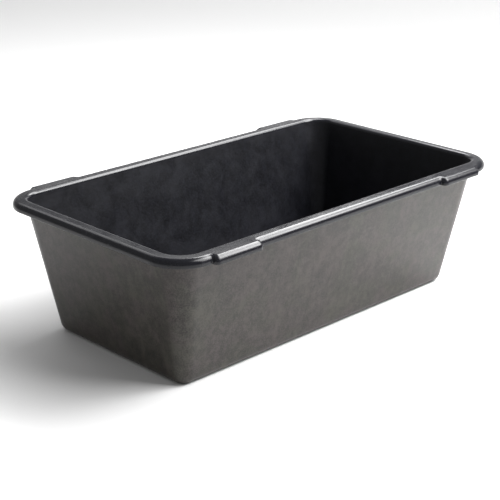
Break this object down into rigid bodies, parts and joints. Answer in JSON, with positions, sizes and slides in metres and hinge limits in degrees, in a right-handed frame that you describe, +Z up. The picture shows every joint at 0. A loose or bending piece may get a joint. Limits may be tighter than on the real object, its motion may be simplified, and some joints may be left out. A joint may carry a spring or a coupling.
{
  "type": "mortar mixing tub",
  "caption": "Rectangular open tub with tapered walls, rounded corners and a turned-down rim that widens into hand grips on its long sides, for mixing and carrying mortar.",
  "frame": {"origin": "middle of the flat underside", "axes": "+X along the tub, +Y across it towards the back long wall, +Z up out of the mouth"},
  "size_m": [0.76, 0.462, 0.2332],
  "materials": {
    "tub_plastic": "black recycled polyethylene, satin and faintly mottled, glossier along the rim"
  },
  "bodies": {
    "root": {"floor_panel": "tub_plastic", "front_wall": "tub_plastic", "back_wall": "tub_plastic", "left_wall": "tub_plastic", "right_wall": "tub_plastic", "front_left_wall_corner": "tub_plastic", "front_right_wall_corner": "tub_plastic", "back_left_wall_corner": "tub_plastic", "back_right_wall_corner": "tub_plastic", "front_rim": "tub_plastic", "back_rim": "tub_plastic", "left_rim": "tub_plastic", "right_rim": "tub_plastic", "front_left_rim_corner": "tub_plastic", "front_right_rim_corner": "tub_plastic", "back_left_rim_corner": "tub_plastic", "back_right_rim_corner": "tub_plastic", "front_left_grip": "tub_plastic", "front_right_grip": "tub_plastic", "back_left_grip": "tub_plastic", "back_right_grip": "tub_plastic"}
  },
  "joints": []
}
